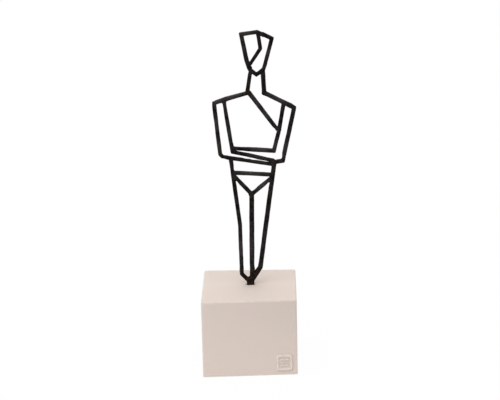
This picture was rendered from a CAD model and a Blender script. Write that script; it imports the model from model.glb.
import math

import bmesh
import bpy
import numpy as np
from mathutils import Matrix, Vector, noise


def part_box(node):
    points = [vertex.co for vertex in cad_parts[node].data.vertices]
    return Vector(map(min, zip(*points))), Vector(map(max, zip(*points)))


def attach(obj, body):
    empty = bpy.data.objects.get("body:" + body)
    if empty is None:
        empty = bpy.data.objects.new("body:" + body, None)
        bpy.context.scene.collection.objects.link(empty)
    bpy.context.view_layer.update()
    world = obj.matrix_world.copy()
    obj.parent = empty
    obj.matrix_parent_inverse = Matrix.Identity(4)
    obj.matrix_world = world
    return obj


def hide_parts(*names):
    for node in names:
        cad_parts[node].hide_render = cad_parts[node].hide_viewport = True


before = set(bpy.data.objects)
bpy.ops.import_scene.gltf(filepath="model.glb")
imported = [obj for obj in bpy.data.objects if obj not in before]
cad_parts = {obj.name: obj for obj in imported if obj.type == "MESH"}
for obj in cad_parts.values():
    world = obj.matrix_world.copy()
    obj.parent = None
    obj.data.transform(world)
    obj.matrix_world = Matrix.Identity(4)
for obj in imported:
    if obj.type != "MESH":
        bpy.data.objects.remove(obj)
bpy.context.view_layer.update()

MM = 0.001

# ---- The figure -------------------------------------------------------------------------
# A standing idol with folded arms, drawn flat in bars of metal 2.5 to 3 mm square. The bars are
# cut and bent by hand, welded where they meet, filed along their edges and blackened all over,
# and the foot runs down as a tang into the plinth.

FOOT = Vector((1.05 * MM, 2.5 * MM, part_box("plinth")[1][2]))
LEAN = math.radians(2.62)
SKIN_SIZE = 0.32 * MM
SMOOTHING_ROUNDS = 3
SMOOTHING_SHARE = 0.6
BLACK_COAT = 0.24 * MM

LEG_FULLNESS = 0.07 * MM
WAIST_HEIGHT = 115.0 * MM
WAIST_BLEND = 15.0 * MM

BAR_SWAY = 0.12 * MM
BAR_SWAY_BY_AXIS = (1.0, 0.6, 1.0)
BAR_SWAY_LENGTH = 11.0 * MM
BAR_SWAY_START = 3.5
FIRM_FOOT_HEIGHT = 4.0 * MM
FILED_UNEVENNESS = 0.08 * MM
FILED_LENGTH = 5.5 * MM
CAST_SKIN_DEPTH = 0.035 * MM
CAST_SKIN_LENGTH = 1.5 * MM
CAST_SKIN_START = 7.0
NOISE_APART = 10.0

SHARP_EDGE_HEIGHT = 0.045 * MM
EDGE_SPREAD_ROUNDS = 3
RUBBED_LEAST = 0.6
RUBBED_PAST_UPRIGHT = 0.2

# Beads left by the weld, as (across, height, radius) in millimetres. Across and height count from
# the foot in the upright figure, before it leans.
WELD_BEADS = (
    (-3.5, 166.2, 1.5),
    (6.5, 165.6, 1.4),
    (-5.2, 148.0, 1.4),
    (-22.1, 140.7, 1.6),
    (17.4, 120.9, 1.3),
    (-14.6, 105.6, 1.4),
    (15.3, 95.7, 1.8),
    (-1.1, 70.8, 1.6),
    (-0.3, 4.4, 2.0),
    (3.2, 8.6, 1.5),
)

# Where the file took more off the bars than usual, or the weld left them fuller, as (across,
# height, reach, extra metal) in the same millimetres.
CORNERS_FILED = (
    # The jaw, the shoulders and the strap's end.
    (-4.5, 164.5, 1.5, -0.30),
    (8.0, 165.5, 1.5, -0.25),
    (-30.0, 140.5, 2.0, -0.35),
    (30.5, 139.0, 2.0, -0.35),
    (16.0, 121.5, 1.5, -0.45),
    # The elbows.
    (21.0, 100.0, 2.0, -0.55),
    (-21.5, 98.5, 1.5, -0.50),
    # The forks of the hips and of the legs.
    (-14.0, 90.0, 2.0, -0.30),
    (-11.5, 80.5, 2.0, -0.30),
    (11.5, 80.0, 2.0, -0.45),
    (1.5, 75.0, 2.0, -0.30),
)
WEDGES_OPENED = (
    # Between the folded forearms.
    (-12.0, 104.0, 2.0, -0.25),
    (-8.0, 103.5, 2.5, -0.20),
    (-5.0, 98.0, 2.0, -0.25),
    (0.0, 98.0, 2.0, -0.30),
    (10.0, 98.0, 3.0, -0.25),
    # Between the left leg and the middle one, above the foot.
    (-1.0, 12.0, 5.0, -0.30),
)
FILLETS_LEFT = (
    # The chin, the neck's base and the shoulders.
    (4.0, 166.5, 2.0, 0.25),
    (6.5, 147.5, 2.0, 0.25),
    (-21.0, 141.0, 2.5, 0.20),
    (26.0, 138.0, 2.5, 0.30),
    # The inner elbow, the left elbow and the right forearm.
    (-13.5, 108.5, 2.0, 0.35),
    (-20.5, 101.5, 2.0, 0.25),
    (4.5, 107.5, 7.5, 0.20),
    # The foot.
    (5.5, 15.0, 2.0, 0.30),
    (3.0, 12.0, 2.0, 0.50),
    (-6.0, 12.5, 2.0, 0.25),
)

# Where handling has rubbed the black thin, as (across, height, reach).
RUBBED_SPOTS = (
    (-16.2, 143.5, 8.5),
    (-26.0, 140.2, 4.0),
    (1.5, 141.5, 6.0),
    (9.0, 132.0, 5.0),
    (17.5, 142.8, 6.0),
    (20.5, 108.0, 7.0),
    (6.0, 105.0, 7.0),
    (-7.0, 191.0, 4.0),
    (-10.0, 180.0, 3.5),
    (9.5, 178.0, 3.5),
    (-27.5, 124.0, 5.5),
    (-25.5, 108.0, 4.5),
    (-18.5, 118.0, 4.5),
    (-1.5, 86.6, 7.0),
    (7.5, 78.0, 5.0),
    (-4.8, 30.0, 9.0),
)

# Where the weld's heat left the black deepest and brownest, as (across, height, reach).
SCORCHED_SPOTS = (
    (0.0, 4.0, 9.0),
    (-5.2, 148.0, 3.5),
)


def on_figure(across, height):
    """A place on the figure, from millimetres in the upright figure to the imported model's frame."""
    upright = Vector((across, 0.0, height)) * MM
    return FOOT + Matrix.Rotation(LEAN, 3, "Y") @ upright


def new_piece(name, mesh):
    """A mesh in the scene under this name, with smooth faces."""
    mesh.shade_smooth()
    piece = bpy.data.objects.new(name, mesh)
    bpy.context.scene.collection.objects.link(piece)
    return piece


def points_of(mesh):
    places = np.empty(len(mesh.vertices) * 3, np.float32)
    mesh.vertices.foreach_get("co", places)
    return places.reshape(-1, 3).astype(float)


def normals_of(mesh):
    ways = np.empty(len(mesh.vertices) * 3, np.float32)
    mesh.vertex_normals.foreach_get("vector", ways)
    return ways.reshape(-1, 3).astype(float)


def move_points(mesh, places):
    mesh.vertices.foreach_set("co", places.astype(np.float32).ravel())
    mesh.update()


def new_skin(piece, size):
    """Gives the piece one closed skin of even quads, which also joins bars that overlap."""
    remesh = piece.modifiers.new("skin", "REMESH")
    remesh.mode = "VOXEL"
    remesh.voxel_size = size
    seen = piece.evaluated_get(bpy.context.evaluated_depsgraph_get())
    mesh = bpy.data.meshes.new_from_object(seen)
    piece.modifiers.clear()
    piece.data = mesh


def edge_ends(mesh):
    ends = np.empty(len(mesh.edges) * 2, np.int32)
    mesh.edges.foreach_get("vertices", ends)
    return ends.reshape(-1, 2)


def neighbour_mean(values, ends):
    """For each point, the mean of the values at the points joined to it by an edge."""
    count = np.bincount(ends.ravel(), minlength=len(values))
    columns = []
    for column in values.reshape(len(values), -1).T:
        total = np.bincount(ends[:, 0], column[ends[:, 1]], len(values))
        total += np.bincount(ends[:, 1], column[ends[:, 0]], len(values))
        columns.append(total / np.maximum(count, 1))
    return np.array(columns).T.reshape(values.shape)


def relax(mesh, rounds):
    """Evens the skin out and rounds its edges a little, as a file and a blasting would."""
    ends = edge_ends(mesh)
    places = points_of(mesh)
    for _ in range(rounds):
        places += SMOOTHING_SHARE * (neighbour_mean(places, ends) - places)
    move_points(mesh, places)


def swell(places, length, away=0.0):
    """Smooth noise between -1 and 1 at each place, one swing in about this length, and away
    from other noise of the same length."""
    shift = Vector((away, away, away))
    return np.array([noise.noise(Vector(place) / length + shift) for place in places])


def wander(places, length, away):
    """Smooth noise in three ways at each place, as a small move of that place."""
    return np.array([swell(places, length, away + NOISE_APART * axis) for axis in range(3)]).T


def keep_mask(mesh, name, values):
    """Stores a mask over the surface for the material to read."""
    mask = mesh.attributes.new(name, "FLOAT", "POINT")
    mask.data.foreach_set("value", values.astype(np.float32))


def worn_edge_mask(mesh):
    """How far each point stands on an outward edge, from 0 on a flat to 1 on an edge."""
    ends = edge_ends(mesh)
    places = points_of(mesh)
    stand_out = ((places - neighbour_mean(places, ends)) * normals_of(mesh)).sum(1)
    for _ in range(EDGE_SPREAD_ROUNDS):
        stand_out = 0.5 * stand_out + 0.5 * neighbour_mean(stand_out, ends)
    return np.clip(stand_out / SHARP_EDGE_HEIGHT, 0.0, 1.0)


def near_spot(mesh, across, height, reach):
    """How near each point is to a place on the flat figure, from 1 there to 0 far away."""
    away = points_of(mesh)[:, (0, 2)] - np.array(on_figure(across, height))[[0, 2]]
    return np.exp(-((np.linalg.norm(away, axis=1) / (reach * MM)) ** 2))


def near_spots(mesh, spots):
    """How near each point is to the nearest of the spots."""
    return np.maximum.reduce([near_spot(mesh, *spot) for spot in spots])


def rubbed_mask(mesh):
    """How far the black is rubbed thin at each point: round the spots, most where it faces up."""
    facing_up = np.clip(normals_of(mesh)[:, 2] + RUBBED_PAST_UPRIGHT, 0.0, 1.0)
    share = RUBBED_LEAST + (1.0 - RUBBED_LEAST) * facing_up
    return near_spots(mesh, RUBBED_SPOTS) * share


def weld_bead_mesh():
    """The CAD bars together with the beads at their joints."""
    mesh_bm = bmesh.new()
    mesh_bm.from_mesh(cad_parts["figure"].data)
    for across, height, radius in WELD_BEADS:
        bmesh.ops.create_icosphere(
            mesh_bm,
            subdivisions=3,
            radius=radius * MM,
            matrix=Matrix.Translation(on_figure(across, height)),
        )
    mesh = bpy.data.meshes.new("figure_bars")
    mesh_bm.to_mesh(mesh)
    mesh_bm.free()
    return mesh


figure = new_piece("figure_bars", weld_bead_mesh())
new_skin(figure, SKIN_SIZE)
relax(figure.data, SMOOTHING_ROUNDS)

bar_points = points_of(figure.data)
above_stone = np.clip((bar_points[:, 2] - FOOT.z) / FIRM_FOOT_HEIGHT, 0.0, 1.0)[:, None]
sway = BAR_SWAY * wander(bar_points, BAR_SWAY_LENGTH, BAR_SWAY_START) * BAR_SWAY_BY_AXIS
filing = BLACK_COAT + FILED_UNEVENNESS * swell(bar_points, FILED_LENGTH)
filing += CAST_SKIN_DEPTH * swell(bar_points, CAST_SKIN_LENGTH, CAST_SKIN_START)
below_waist = (FOOT.z + WAIST_HEIGHT - bar_points[:, 2]) / WAIST_BLEND
filing += LEG_FULLNESS * np.clip(below_waist, 0.0, 1.0)
for *spot, fullness in (*CORNERS_FILED, *WEDGES_OPENED, *FILLETS_LEFT):
    filing += fullness * MM * near_spot(figure.data, *spot)
bar_points += above_stone * (sway + filing[:, None] * normals_of(figure.data))
move_points(figure.data, bar_points)
keep_mask(figure.data, "worn_edge", worn_edge_mask(figure.data))
keep_mask(figure.data, "rubbed", rubbed_mask(figure.data))
keep_mask(figure.data, "scorched", near_spots(figure.data, SCORCHED_SPOTS))
figure.data.shade_smooth()


# The finish: a black patina in soft patches over a skin with fine casting grain. It is deepest
# and brownest along the filed edges, and greyer where handling has rubbed it thin.


def put(tree, kind, inputs=(), **settings):
    """A node of this kind, each input set to a value or joined to another node's socket."""
    made = tree.nodes.new(kind)
    for name, value in settings.items():
        setattr(made, name, value)
    for socket, value in dict(inputs).items():
        if isinstance(value, bpy.types.NodeSocket):
            tree.links.new(value, made.inputs[socket])
        else:
            made.inputs[socket].default_value = value
    return made


def new_effect(name, inputs, outputs):
    """An empty node group with number inputs, given as (name, usual value), and outputs."""
    effect = bpy.data.node_groups.new(name, "ShaderNodeTree")
    for socket, usual in inputs:
        made = effect.interface.new_socket(socket, in_out="INPUT", socket_type="NodeSocketFloat")
        made.default_value = usual
    for socket in outputs:
        effect.interface.new_socket(socket, in_out="OUTPUT", socket_type="NodeSocketFloat")
    return effect, effect.nodes.new("NodeGroupInput"), effect.nodes.new("NodeGroupOutput")


def metres_to_scale(tree, millimetres):
    """A texture's scale from the size of its features in millimetres."""
    return put(tree, "ShaderNodeMath", {0: 1000.0, 1: millimetres}, operation="DIVIDE").outputs[0]


def make_soft_patches():
    """Broad soft patches, 0 to 1, as uneven patina or a cast mix shows."""
    effect, given, result = new_effect(
        "soft_patches", (("Size mm", 10.0), ("Contrast", 1.0)), ("Patches",)
    )
    place = effect.nodes.new("ShaderNodeTexCoord").outputs["Object"]
    cloud = put(
        effect,
        "ShaderNodeTexNoise",
        {
            "Vector": place,
            "Scale": metres_to_scale(effect, given.outputs["Size mm"]),
            "Detail": 3.0,
            "Roughness": 0.55,
        },
    )
    centred = put(effect, "ShaderNodeMath", {0: cloud.outputs["Fac"], 1: 0.5}, operation="SUBTRACT")
    spread = put(
        effect,
        "ShaderNodeMath",
        {0: centred.outputs[0], 1: given.outputs["Contrast"], 2: 0.5},
        operation="MULTIPLY_ADD",
        use_clamp=True,
    )
    effect.links.new(spread.outputs[0], result.inputs["Patches"])
    return effect


def make_fine_grain():
    """Fine grain over the surface: a speckle of single grains and their height."""
    effect, given, result = new_effect(
        "fine_grain", (("Grain mm", 0.4), ("Sharpness", 0.5)), ("Speckle", "Height")
    )
    place = effect.nodes.new("ShaderNodeTexCoord").outputs["Object"]
    scale = metres_to_scale(effect, given.outputs["Grain mm"])
    speckle = put(
        effect,
        "ShaderNodeTexNoise",
        {"Vector": place, "Scale": scale, "Detail": 4.0, "Roughness": given.outputs["Sharpness"]},
    )
    grains = put(effect, "ShaderNodeTexVoronoi", {"Vector": place, "Scale": scale})
    height = put(
        effect,
        "ShaderNodeMath",
        {0: grains.outputs["Distance"], 1: -0.5, 2: speckle.outputs["Fac"]},
        operation="MULTIPLY_ADD",
    )
    effect.links.new(speckle.outputs["Fac"], result.inputs["Speckle"])
    effect.links.new(height.outputs[0], result.inputs["Height"])
    return effect


def make_worn_edges():
    """Where outward edges are rubbed, broken up so that no edge is worn evenly."""
    effect, given, result = new_effect(
        "worn_edges", (("Break-up mm", 2.0), ("Amount", 1.0)), ("Wear",)
    )
    edge = put(effect, "ShaderNodeAttribute", attribute_name="worn_edge").outputs["Fac"]
    place = effect.nodes.new("ShaderNodeTexCoord").outputs["Object"]
    breaks = put(
        effect,
        "ShaderNodeTexNoise",
        {
            "Vector": place,
            "Scale": metres_to_scale(effect, given.outputs["Break-up mm"]),
            "Detail": 4.0,
        },
    )
    uneven = put(
        effect,
        "ShaderNodeMapRange",
        {"Value": breaks.outputs["Fac"], "From Min": 0.35, "From Max": 0.65},
    )
    rubbed = put(
        effect, "ShaderNodeMath", {0: edge, 1: uneven.outputs["Result"]}, operation="MULTIPLY"
    )
    wear = put(
        effect,
        "ShaderNodeMath",
        {0: rubbed.outputs[0], 1: given.outputs["Amount"]},
        operation="MULTIPLY",
        use_clamp=True,
    )
    effect.links.new(wear.outputs[0], result.inputs["Wear"])
    return effect


soft_patches = make_soft_patches()
fine_grain = make_fine_grain()
worn_edges = make_worn_edges()


def use_effect(tree, effect, inputs):
    """Places a node group in a material with its own values."""
    return put(tree, "ShaderNodeGroup", inputs, node_tree=effect)


def blend_colours(tree, mask, low, high):
    """From the low colour to the high one as the mask goes from 0 to 1."""
    mix = put(tree, "ShaderNodeMix", {0: mask, 6: low, 7: high}, data_type="RGBA")
    return mix.outputs[2]


def new_finish(name):
    material = bpy.data.materials.new(name)
    material.use_nodes = True
    return material, material.node_tree, material.node_tree.nodes["Principled BSDF"]


BLACK_DEEP = (0.0026, 0.0017, 0.0014, 1.0)
BLACK_DULL = (0.0225, 0.0182, 0.0168, 1.0)
BLACK_GRAIN = (0.047, 0.0395, 0.037, 1.0)
BLACK_SCORCHED = (0.0275, 0.0158, 0.0102, 1.0)
BLACK_RUBBED = (0.068, 0.061, 0.057, 1.0)

blackened, tree, shader = new_finish("blackened_metal")
patches = use_effect(tree, soft_patches, {"Size mm": 3.5, "Contrast": 4.0}).outputs["Patches"]
grain = use_effect(tree, fine_grain, {"Grain mm": 0.8, "Sharpness": 0.6})
cast_skin = use_effect(tree, fine_grain, {"Grain mm": 1.3, "Sharpness": 0.5})
edges = use_effect(tree, worn_edges, {"Break-up mm": 3.0, "Amount": 0.7}).outputs["Wear"]
rubbed = put(tree, "ShaderNodeAttribute", attribute_name="rubbed").outputs["Fac"]
scorched = put(tree, "ShaderNodeAttribute", attribute_name="scorched").outputs["Fac"]
patina = blend_colours(tree, patches, BLACK_DEEP, BLACK_DULL)
speckle = put(
    tree,
    "ShaderNodeMapRange",
    {"Value": grain.outputs["Speckle"], "From Min": 0.50, "From Max": 0.70, "To Max": 0.6},
).outputs["Result"]
dull_share = put(
    tree, "ShaderNodeMapRange", {"Value": patches, "To Min": 0.3}
).outputs["Result"]
speckle = put(tree, "ShaderNodeMath", {0: speckle, 1: dull_share}, operation="MULTIPLY").outputs[0]
thinned = put(
    tree,
    "ShaderNodeMapRange",
    {"Value": grain.outputs["Speckle"], "From Min": 0.40, "From Max": 0.60, "To Min": 0.4},
).outputs["Result"]
thinned = put(tree, "ShaderNodeMath", {0: thinned, 1: rubbed}, operation="MULTIPLY").outputs[0]
black = blend_colours(tree, speckle, patina, BLACK_GRAIN)
black = blend_colours(tree, edges, black, BLACK_DEEP)
heated = blend_colours(tree, patches, BLACK_DEEP, BLACK_SCORCHED)
black = blend_colours(tree, scorched, black, heated)
black = blend_colours(tree, thinned, black, BLACK_RUBBED)
shader.inputs["Specular IOR Level"].default_value = 0.08
tree.links.new(black, shader.inputs["Base Color"])
tree.links.new(
    put(
        tree,
        "ShaderNodeMapRange",
        {"Value": cast_skin.outputs["Speckle"], "From Min": 0.3, "From Max": 0.7,
         "To Min": 0.34, "To Max": 0.50},
    ).outputs["Result"],
    shader.inputs["Roughness"],
)
coarse_bump = put(
    tree,
    "ShaderNodeBump",
    {"Height": cast_skin.outputs["Height"], "Distance": 0.10 * MM, "Strength": 0.8},
)
fine_bump = put(
    tree,
    "ShaderNodeBump",
    {
        "Height": grain.outputs["Height"],
        "Distance": 0.05 * MM,
        "Strength": 0.7,
        "Normal": coarse_bump.outputs["Normal"],
    },
)
tree.links.new(fine_bump.outputs["Normal"], shader.inputs["Normal"])

figure.data.materials.clear()
figure.data.materials.append(blackened)
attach(figure, "root")
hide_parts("figure")

# ---- The plinth -------------------------------------------------------------------------
# A block of pale warm stone mix, cast by hand a little out of square, with the maker's square
# stamp standing raised on the front. It is rubbed smooth, softest along the top. The tang is set
# in a socket in the top that leans with the figure.

BLOCK_DEPTH = 70.0 * MM
BLOCK_TAPER = 0.057
BLOCK_LEFT_SPREAD = 0.5 * MM
BLOCK_RIGHT_LEAN = 0.20 * MM
LEFT_SPREAD_TOP = 0.75
TOP_RISE = 0.3 * MM
BACK_RISE_SHARE = 0.5
FOOT_HOLLOW = 8.0 * MM
BLOCK_FOOT_SQUARENESS = 5.0
BLOCK_TOP_SQUARENESS = 2.0
BLOCK_EDGE_RADIUS = 1.2 * MM
BLOCK_EDGE_TURNS = 6
BLOCK_CELL = 1.6 * MM
BLOCK_UNEVENNESS = 0.07 * MM
BLOCK_UNEVENNESS_LENGTH = 19.0 * MM
DIMPLE_SHARE = 0.3
DIMPLE_LENGTH = 5.0 * MM
DIMPLE_START = 3.0
EDGE_RUBBING = 0.22 * MM
EDGE_RUBBING_LENGTH = 8.0 * MM
EDGE_RUBBING_START = 5.0
TRUE_FOOT_HEIGHT = 6.0 * MM
TOP_BAND = 4.0 * MM
FLAT_FACING = 0.999
SHARP_ANGLE = math.radians(50.0)
PASTE_ON_TOP = 0.4
PASTE_AT_FOOT = 0.1
PASTE_RISE = 0.4
PASTE_TO_LEFT = 0.7
STAMP_RELIEF = 0.9 * MM
STAMP_SIZE = np.array((11.6, 11.9)) * MM
STAMP_MARGIN = 4.0 * MM
STAMP_RIM = 1.6 * MM
STAMP_WEAR = 1.3
STAMP_SOFTNESS = 0.75 * MM
STAMP_GROOVE_LEAST = 0.1
STAMP_GROOVE_SHARE = 0.50
STAMP_CORNER = 0.8 * MM
STAMP_TOP_RIGHT_CORNER = 2.2 * MM
STAMP_FIELD_CORNER = 0.4 * MM
STAMP_CELL = 0.16 * MM
STROKE_ROWS = 3
STROKES_PER_ROW = 2
STROKE_ROW_PITCH = 2.2 * MM
STROKE_PITCH = 3.6 * MM
STROKE_WIDTH = 2.8 * MM
STROKE_HEIGHT = 0.9 * MM
STROKE_CORNER = 0.3 * MM
SOCKET_HALF_WIDTH = 3.0 * MM
SOCKET_HALF_THICKNESS = 1.8 * MM
SOCKET_DEPTH = 9.3 * MM
SOCKET_LIP = 0.25 * MM
SOCKET_LIP_DEPTH = 0.15 * MM
SOCKET_WALL = 0.02 * MM
SOCKET_CELL = 0.8 * MM

block_low, block_high = (np.array(corner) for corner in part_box("plinth"))
block_low[1], block_high[1] = -BLOCK_DEPTH / 2, BLOCK_DEPTH / 2
stamp_middle = np.array((block_high[0] - STAMP_MARGIN, block_low[2] + STAMP_MARGIN))
stamp_middle += STAMP_SIZE / 2 * (-1.0, 1.0)


def grid_stops(low, high, closer=()):
    """Where the block's grid has its lines along one side: turned evenly round the two edges,
    a cell apart between them, and closer in each stretch given as (from, to, cell)."""
    turns = np.tan(np.linspace(math.pi / 4, 0.0, BLOCK_EDGE_TURNS + 1)) * BLOCK_EDGE_RADIUS
    start, end = low + BLOCK_EDGE_RADIUS, high - BLOCK_EDGE_RADIUS
    stops = list(start - turns)
    for stretch_low, stretch_high, cell in (*closer, (end, end, BLOCK_CELL)):
        gap = stretch_low - stops[-1]
        stops += list(np.linspace(stops[-1], stretch_low, math.ceil(gap / BLOCK_CELL) + 1)[1:])
        if stretch_high > stretch_low:
            count = math.ceil((stretch_high - stretch_low) / cell)
            stops += list(np.linspace(stretch_low, stretch_high, count + 1)[1:])
    stops += list(end + turns[::-1])[1:]
    return np.array(stops)


def around(middle, half, cell, spread):
    """A closer stretch of grid round a place."""
    return middle - half - spread, middle + half + spread, cell


def box_surface(stops):
    """The points and quads of a closed grid over a box's six sides."""
    last = [len(side) - 1 for side in stops]
    index, places, quads = {}, [], []

    def point(i, j, k):
        if (i, j, k) not in index:
            index[i, j, k] = len(places)
            places.append((stops[0][i], stops[1][j], stops[2][k]))
        return index[i, j, k]

    for axis in range(3):
        first, second = (axis + 1) % 3, (axis + 2) % 3
        for end in (0, last[axis]):
            for a in range(last[first]):
                for b in range(last[second]):
                    corners = []
                    for step_a, step_b in ((0, 0), (1, 0), (1, 1), (0, 1)):
                        at = [0, 0, 0]
                        at[axis], at[first], at[second] = end, a + step_a, b + step_b
                        corners.append(point(*at))
                    quads.append(corners if end else corners[::-1])
    return np.array(places), quads


def soft_step(distance, softness):
    """1 well inside a shape, 0 well outside, smooth across its outline."""
    t = np.clip(0.5 - distance / softness, 0.0, 1.0)
    return t * t * (3.0 - 2.0 * t)


def square_distance(offset, half, corner=0.0):
    """Distance outside a rectangle with rounded corners, negative inside it. The corners'
    radius is one for all, or given at each place."""
    beyond = np.abs(offset) - (np.asarray(half) - np.reshape(corner, (-1, 1)))
    outside = np.linalg.norm(np.maximum(beyond, 0.0), axis=-1)
    return outside + np.minimum(beyond.max(axis=-1), 0.0) - corner


def stamp_relief(places):
    """How high the stamp stands at each place on the front, from 0 to 1: a square rim round
    rows of short plain strokes, with a groove pressed round it, deepest right and below."""
    offset = places[:, (0, 2)] - stamp_middle
    half = STAMP_SIZE / 2
    corner = np.where((offset > 0.0).all(axis=1), STAMP_TOP_RIGHT_CORNER, STAMP_CORNER)
    outside = square_distance(offset, half, corner)
    rim = soft_step(outside, STAMP_SOFTNESS)
    inside = square_distance(offset, half - STAMP_RIM, STAMP_FIELD_CORNER)
    rim *= 1.0 - soft_step(inside, STAMP_SOFTNESS)
    height = rim
    for row in range(STROKE_ROWS):
        for place in range(STROKES_PER_ROW):
            middle = (
                STROKE_PITCH * (place - (STROKES_PER_ROW - 1) / 2),
                STROKE_ROW_PITCH * (row - (STROKE_ROWS - 1) / 2),
            )
            distance = square_distance(
                offset - middle, (STROKE_WIDTH / 2, STROKE_HEIGHT / 2), STROKE_CORNER
            )
            height = np.maximum(height, soft_step(distance, STAMP_SOFTNESS))
    groove = soft_step(np.abs(outside - STAMP_SOFTNESS) - STAMP_SOFTNESS / 4, STAMP_SOFTNESS)
    right_or_below = np.clip(0.5 + (offset / STAMP_SIZE) @ (1.0, -1.0), 0.0, 1.0)
    return height - groove * (STAMP_GROOVE_LEAST + STAMP_GROOVE_SHARE * right_or_below)


def socket_depth(places):
    """How deep the top is sunk at each place: a small worn lip, then the socket itself."""
    distance = square_distance(
        places[:, :2] - (FOOT.x, FOOT.y), (SOCKET_HALF_WIDTH, SOCKET_HALF_THICKNESS)
    )
    lip = SOCKET_LIP_DEPTH * np.clip(1.0 - distance / SOCKET_LIP, 0.0, 1.0) ** 2
    return np.where(distance < -SOCKET_WALL / 2, SOCKET_DEPTH, lip)


socket_x = [FOOT.x + way * SOCKET_HALF_WIDTH for way in (-1, 1)]
socket_y = [FOOT.y + way * SOCKET_HALF_THICKNESS for way in (-1, 1)]


def socket_stops(edges):
    """Close lines at the socket's two walls, with a pair for each wall itself."""
    near, far = edges
    return (
        (near - SOCKET_LIP, near, SOCKET_LIP / 3),
        (near + SOCKET_WALL, far - SOCKET_WALL, SOCKET_CELL),
        (far, far + SOCKET_LIP, SOCKET_LIP / 3),
    )


stamp_stretch = [
    around(middle, size / 2, STAMP_CELL, 2 * STAMP_SOFTNESS)
    for middle, size in zip(stamp_middle, STAMP_SIZE)
]
places, quads = box_surface(
    (
        grid_stops(
            block_low[0], block_high[0], (*socket_stops(socket_x), stamp_stretch[0])
        ),
        grid_stops(block_low[1], block_high[1], socket_stops(socket_y)),
        grid_stops(block_low[2], block_high[2], (stamp_stretch[1],)),
    )
)
core = np.clip(places, block_low + BLOCK_EDGE_RADIUS, block_high - BLOCK_EDGE_RADIUS)
outward = places - core
level, upright = np.linalg.norm(outward[:, :2], axis=1), np.abs(outward[:, 2])
squareness = np.where(outward[:, 2] < 0.0, BLOCK_FOOT_SQUARENESS, BLOCK_TOP_SQUARENESS)
outward /= ((level**squareness + upright**squareness) ** (1.0 / squareness))[:, None]
on_edge = np.minimum(np.sort(np.abs(outward), axis=1)[:, 1] / math.sqrt(0.5), 1.0)
places = core + BLOCK_EDGE_RADIUS * outward

off_floor = np.clip(places[:, 2] / TRUE_FOOT_HEIGHT, 0.0, 1.0)
unevenness = BLOCK_UNEVENNESS * swell(places, BLOCK_UNEVENNESS_LENGTH)
unevenness += DIMPLE_SHARE * BLOCK_UNEVENNESS * swell(places, DIMPLE_LENGTH, DIMPLE_START)
rubbing = swell(places, EDGE_RUBBING_LENGTH, EDGE_RUBBING_START)
unevenness -= EDGE_RUBBING * on_edge * (0.5 + 0.5 * rubbing)
on_front = outward[:, 1] < -FLAT_FACING
relief = np.zeros(len(places))
relief[on_front] = stamp_relief(places[on_front])
on_top = outward[:, 2] > FLAT_FACING
sunk = np.zeros(len(places))
sunk[on_top] = socket_depth(places[on_top])
places += outward * (off_floor * unevenness * (sunk < MM) + STAMP_RELIEF * relief)[:, None]
places[:, 0] -= sunk * math.sin(LEAN)
places[:, 2] -= sunk

# The mould lets the left side spread towards the floor and the right side towards the top, and
# the top is rubbed a little lower round the foot and towards the back.
across = places[:, 0] / block_high[0]
up = places[:, 2] / block_high[2]
from_foot = np.linalg.norm(places[:, :2] - (FOOT.x, FOOT.y), axis=1)
low_down = np.clip(1.0 - up / LEFT_SPREAD_TOP, 0.0, 1.0)
places[:, 0] -= BLOCK_LEFT_SPREAD * np.clip(-across, 0.0, 1.0) * low_down
places[:, 0] += BLOCK_RIGHT_LEAN * np.clip(across, 0.0, 1.0) * (2.0 * up - 1.0)
places[:, 1] *= 1.0 - BLOCK_TAPER / 2 * across
back = places[:, 1] / block_high[1]
rise = TOP_RISE * ((1.0 + BACK_RISE_SHARE) / 2 - (1.0 - BACK_RISE_SHARE) / 2 * back)
places[:, 2] += rise * up * np.clip(from_foot / FOOT_HOLLOW - 0.5, 0.0, 1.0)

block_mesh = bpy.data.meshes.new("plinth_block")
block_mesh.from_pydata(places, [], quads)
to_side = np.minimum(block_high[:2] - np.abs(places[:, :2]), TOP_BAND).min(axis=1) / TOP_BAND
pale_band = on_top * (1.0 - np.clip(to_side, 0.0, 1.0)) ** 2
worn_stamp = STAMP_WEAR * relief
keep_mask(block_mesh, "worn_edge", np.maximum.reduce((on_edge, worn_stamp, pale_band)))
facing_up = np.clip(outward[:, 2], 0.0, 1.0)
side_paste = (PASTE_AT_FOOT + PASTE_RISE * up) * (1.0 - PASTE_TO_LEFT * across)
keep_mask(block_mesh, "paste", PASTE_ON_TOP * facing_up + side_paste * (1.0 - facing_up))
block_mesh.validate()
plinth = new_piece("plinth_block", block_mesh)
block_mesh.set_sharp_from_angle(angle=SHARP_ANGLE)

# The finish: a matt cast mix, a shade pinker or greyer in broad patches, with fine sandy grain
# and paler rubbed edges. The fine paste rose in the mould, which stood a little tilted, so the
# sides are palest at the top and on the left.

STONE_PINK = (0.712, 0.602, 0.542, 1.0)
STONE_GREY = (0.685, 0.598, 0.535, 1.0)
STONE_DARK_GRAIN = (0.581, 0.493, 0.440, 1.0)
STONE_PASTE = (0.765, 0.659, 0.594, 1.0)
STONE_RUBBED = (0.790, 0.693, 0.632, 1.0)

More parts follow.
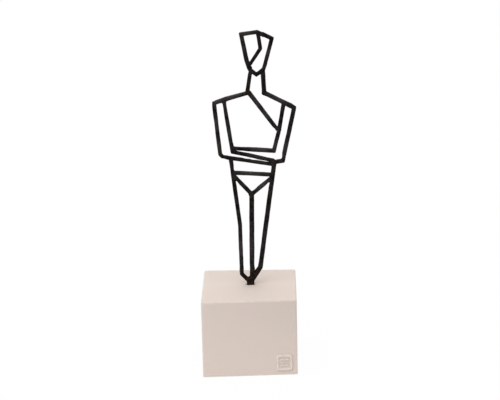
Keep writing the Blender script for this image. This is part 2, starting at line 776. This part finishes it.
stone, tree, shader = new_finish("cast_stone")
patches = use_effect(tree, soft_patches, {"Size mm": 24.0, "Contrast": 2.0}).outputs["Patches"]
grain = use_effect(tree, fine_grain, {"Grain mm": 0.5, "Sharpness": 0.65})
wear = use_effect(tree, worn_edges, {"Break-up mm": 4.0, "Amount": 0.8}).outputs["Wear"]
paste = put(tree, "ShaderNodeAttribute", attribute_name="paste").outputs["Fac"]
mix_colour = blend_colours(tree, patches, STONE_GREY, STONE_PINK)
sandy = blend_colours(
    tree,
    put(
        tree,
        "ShaderNodeMapRange",
        {"Value": grain.outputs["Speckle"], "From Min": 0.55, "From Max": 0.30, "To Max": 0.45},
    ).outputs["Result"],
    mix_colour,
    STONE_DARK_GRAIN,
)
sandy = blend_colours(tree, paste, sandy, STONE_PASTE)
shader.inputs["Specular IOR Level"].default_value = 0.5
tree.links.new(blend_colours(tree, wear, sandy, STONE_RUBBED), shader.inputs["Base Color"])
tree.links.new(
    put(
        tree,
        "ShaderNodeMapRange",
        {"Value": grain.outputs["Speckle"], "To Min": 0.65, "To Max": 0.8},
    ).outputs["Result"],
    shader.inputs["Roughness"],
)
sandy_bump = put(
    tree,
    "ShaderNodeBump",
    {"Height": grain.outputs["Height"], "Distance": 0.04 * MM, "Strength": 0.5},
)
tree.links.new(sandy_bump.outputs["Normal"], shader.inputs["Normal"])

plinth.data.materials.append(stone)
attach(plinth, "root")
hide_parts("plinth")

# ---- The studio -------------------------------------------------------------------------
# A pale floor, one broad soft light high in front and a little to the left, an even white
# surround, and the camera a little above the figure.

SURROUND_LIGHT = 0.30
OVERHEAD_LIGHT = 0.80
BACKDROP_LIGHT = 0.90
KEY_LIGHT = 0.40
KEY_BREADTH = math.radians(90.0)
KEY_FROM = Vector((-0.30, -0.60, 0.74))
FLOOR_SIZE = 6.0
FLOOR_FRONT = 0.2
FLOOR_GAP = 0.05 * MM
FLOOR_WHITE = 0.85
FLOOR_BOUNCE_SHARE = 0.6
FLOOR_SHADOW_SHARE = 0.055
CAMERA_AIM = Vector((2.5, 0.0, 125.8)) * MM
CAMERA_DISTANCE = 1.2427
CAMERA_AZIMUTH = math.radians(1.115)
CAMERA_ELEVATION = math.radians(17.06)
CAMERA_ROLL = math.radians(-1.69)
CAMERA_SENSOR_MM = 36.0
CAMERA_LENS_MM = 120.96
CAMERA_REACH = 20.0

key = bpy.data.lights.new("key_light", "SUN")
key.angle = KEY_BREADTH
key.energy = KEY_LIGHT * math.pi
key_lamp = bpy.data.objects.new("key_light", key)
bpy.context.scene.collection.objects.link(key_lamp)
key_lamp.rotation_euler = (-KEY_FROM).to_track_quat("-Z", "Y").to_euler()

surround = bpy.data.worlds.new("white_surround")
surround.use_nodes = True
tree = surround.node_tree
tree.nodes.clear()
white = (1.0, 1.0, 1.0, 1.0)
seen = put(tree, "ShaderNodeBackground", {"Color": white, "Strength": 1.0})
direction = tree.nodes.new("ShaderNodeTexCoord").outputs["Generated"]
way = put(tree, "ShaderNodeSeparateXYZ", {0: direction})
strength = SURROUND_LIGHT
for axis, light in (("Y", BACKDROP_LIGHT), ("Z", OVERHEAD_LIGHT)):
    towards = put(tree, "ShaderNodeMath", {0: way.outputs[axis], 1: 0.0}, operation="MAXIMUM")
    squared = put(tree, "ShaderNodeMath", {0: towards.outputs[0], 1: 2.0}, operation="POWER")
    strength = put(
        tree,
        "ShaderNodeMath",
        {0: squared.outputs[0], 1: light, 2: strength},
        operation="MULTIPLY_ADD",
    ).outputs[0]
lit = put(tree, "ShaderNodeBackground", {"Color": white, "Strength": strength})
ray = tree.nodes.new("ShaderNodeLightPath")
sky = put(
    tree,
    "ShaderNodeMixShader",
    {0: ray.outputs["Is Camera Ray"], 1: lit.outputs[0], 2: seen.outputs[0]},
)
put(tree, "ShaderNodeOutputWorld", {"Surface": sky.outputs[0]})
bpy.context.scene.world = surround

# The floor is a sheet of white paper, lit so that it shows as the surround does apart from a
# faint shadow where the plinth stands. Lying level, it gets half of the overhead light and an
# eighth of the backdrop's. It throws more of that back on the sculpture than the shadow shows.
open_light = SURROUND_LIGHT + BACKDROP_LIGHT / 8 + OVERHEAD_LIGHT / 2
open_light += KEY_LIGHT * KEY_FROM.normalized().z
bpy.ops.mesh.primitive_plane_add(
    size=FLOOR_SIZE, location=(0.0, FLOOR_SIZE / 2 - FLOOR_FRONT, -FLOOR_GAP)
)
floor = bpy.context.object
floor.name = "studio_floor"
paper, tree, shader = new_finish("white_paper")
tree.nodes.remove(shader)
sides = []
for share in (FLOOR_BOUNCE_SHARE, FLOOR_SHADOW_SHARE):
    grey = FLOOR_WHITE * share
    bounce = put(tree, "ShaderNodeBsdfDiffuse", {"Color": (grey, grey, grey, 1.0)})
    glow = put(tree, "ShaderNodeEmission", {"Strength": 1.0 - grey * open_light})
    sides.append(put(tree, "ShaderNodeAddShader", {0: bounce.outputs[0], 1: glow.outputs[0]}))
ray = tree.nodes.new("ShaderNodeLightPath")
paper_shader = put(
    tree,
    "ShaderNodeMixShader",
    {0: ray.outputs["Is Camera Ray"], 1: sides[0].outputs[0], 2: sides[1].outputs[0]},
)
tree.links.new(paper_shader.outputs[0], tree.nodes["Material Output"].inputs["Surface"])
floor.data.materials.append(paper)

away = Vector(
    (
        math.sin(CAMERA_AZIMUTH) * math.cos(CAMERA_ELEVATION),
        -math.cos(CAMERA_AZIMUTH) * math.cos(CAMERA_ELEVATION),
        math.sin(CAMERA_ELEVATION),
    )
)
lens = bpy.data.cameras.new("camera")
lens.sensor_width = CAMERA_SENSOR_MM
lens.lens = CAMERA_LENS_MM
lens.clip_end = CAMERA_REACH
camera = bpy.data.objects.new("camera", lens)
bpy.context.scene.collection.objects.link(camera)
level = away.to_track_quat("Z", "Y").to_matrix()
camera.matrix_world = Matrix.Translation(CAMERA_AIM + away * CAMERA_DISTANCE) @ (
    level @ Matrix.Rotation(CAMERA_ROLL, 3, "Z")
).to_4x4()
bpy.context.scene.camera = camera
bpy.context.scene.view_settings.view_transform = "Standard"

bpy.context.view_layer.update()
